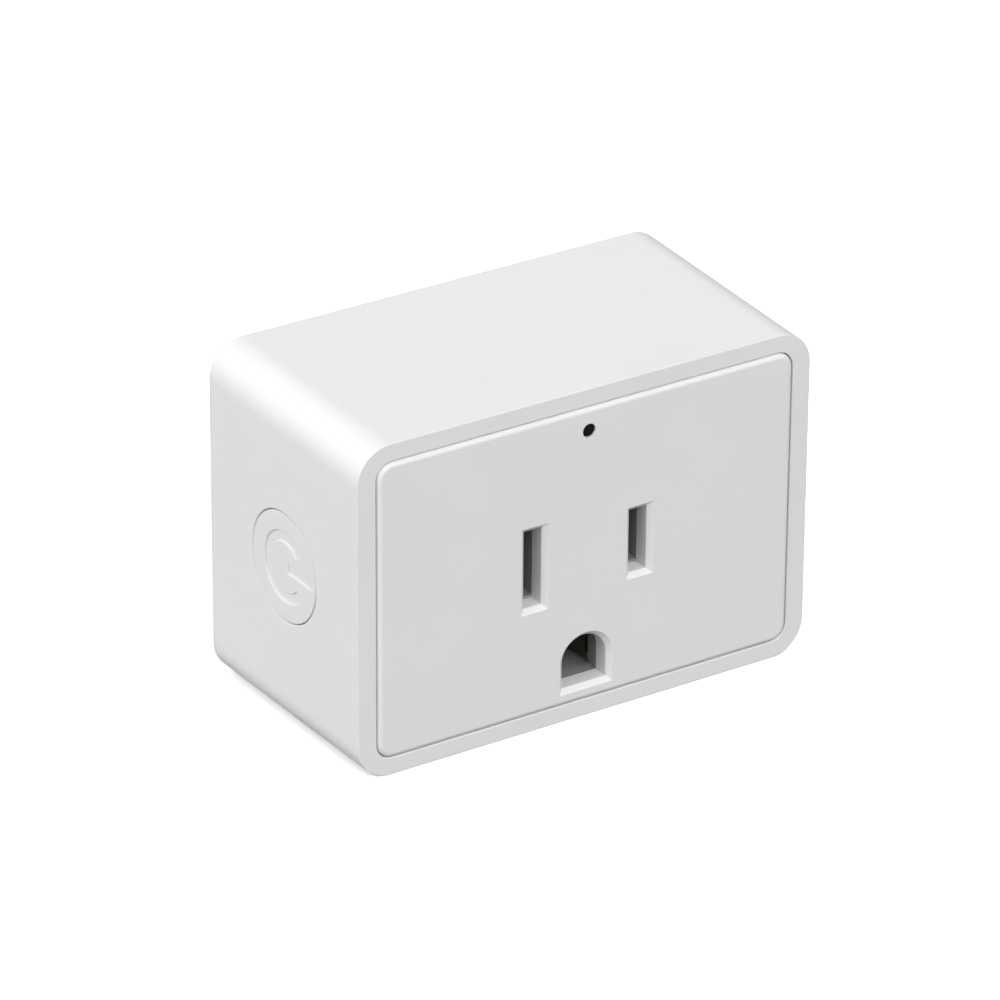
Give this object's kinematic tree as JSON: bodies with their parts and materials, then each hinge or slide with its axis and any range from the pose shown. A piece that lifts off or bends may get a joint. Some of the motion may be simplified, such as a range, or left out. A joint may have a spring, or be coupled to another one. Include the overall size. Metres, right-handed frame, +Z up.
{
  "type": "smart plug",
  "caption": "Compact white smart plug: grounded outlet in front, prongs behind, round side button, relay and wireless circuit inside a drafted sleeve.",
  "frame": {"origin": "centre of the bounding box's base, which is the lowest line of the sleeve, prongs included", "axes": "+X to the right as the outlet is faced, +Y from the outlet face towards the wall along the prongs, +Z up"},
  "size_m": [0.055, 0.049, 0.0381],
  "materials": {
    "casing_white": "fine spark-eroded grain",
    "cover_white": "fine spark-eroded grain",
    "button_white": "satin",
    "carrier_grey": "moulded",
    "spring_brass": "bright rolled",
    "plated_prong": "nickel plated",
    "screw_steel": "zinc plated",
    "board_green": "solder mask",
    "insulation_film": "film",
    "relay_case_blue": "moulded",
    "relay_black": "moulded",
    "coil_copper": "enamelled wire",
    "relay_iron": "plated iron",
    "contact_silver": "copper alloy",
    "can_sleeve": "shrink sleeve",
    "ferrite": "sintered",
    "film_box": "moulded",
    "varistor_blue": "epoxy coated",
    "resistor_body": "lacquered",
    "chip_black": "moulded",
    "shield_tin": "tinned",
    "plunger_black": "moulded",
    "clear_plastic": "clear",
    "smoked_plastic": "dark tinted"
  },
  "bodies": {
    "housing": {"housing_sleeve": "casing_white", "front_cover": "cover_white", "rear_cover": "cover_white", "socket_carrier": "carrier_grey", "line_contact": "spring_brass", "neutral_contact": "spring_brass", "ground_contact": "spring_brass", "line_strap": "spring_brass", "neutral_strap": "spring_brass", "ground_strap": "spring_brass", "blade_rivets": "spring_brass", "line_blade": "plated_prong", "neutral_blade": "plated_prong", "ground_pin": "plated_prong", "housing_screws": "screw_steel", "board_screws": "screw_steel", "main_board": "board_green", "wifi_board": "board_green", "insulation_sheet": "insulation_film", "relay_case": "relay_case_blue", "relay_base": "relay_black", "relay_bobbin": "relay_black", "relay_coil": "coil_copper", "choke_winding": "coil_copper", "relay_core": "relay_iron", "relay_yoke": "relay_iron", "relay_fixed_contact": "contact_silver", "relay_terminals": "contact_silver", "bulk_capacitor_inner": "can_sleeve", "bulk_capacitor_outer": "can_sleeve", "choke_core": "ferrite", "film_capacitor": "film_box", "varistor": "varistor_blue", "fuse_resistor": "resistor_body", "bridge_rectifier": "chip_black", "supply_chip": "chip_black", "switch_body": "chip_black", "wifi_shield": "shield_tin", "switch_dome": "shield_tin", "status_led": "clear_plastic", "light_guide": "smoked_plastic"},
    "button": {"button_cap": "button_white"},
    "switch_plunger": {"switch_plunger": "plunger_black"},
    "relay_armature": {"relay_armature": "relay_iron", "relay_contact_spring": "contact_silver"}
  },
  "joints": [
    {"name": "button_press", "type": "slide", "parent": "housing", "child": "button", "axis": [0.9999, 0.0148, 0], "range_m": [0, 0.0004], "stiffness_N_per_m": 4000},
    {"name": "switch_press", "type": "slide", "parent": "housing", "child": "switch_plunger", "axis": [1, 0, 0], "range_m": [0, 0.0004]},
    {"name": "relay_pull", "type": "hinge", "parent": "housing", "child": "relay_armature", "pos_m": [0.0175, -0.01819, 0.02086], "axis": [-1, 0, 0], "range_deg": [0, 3.1], "stiffness_Nm_per_rad": 0.02}
  ],
  "couplings": [
    {"joint": "switch_press", "follows": "button_press", "ratio": 1}
  ]
}
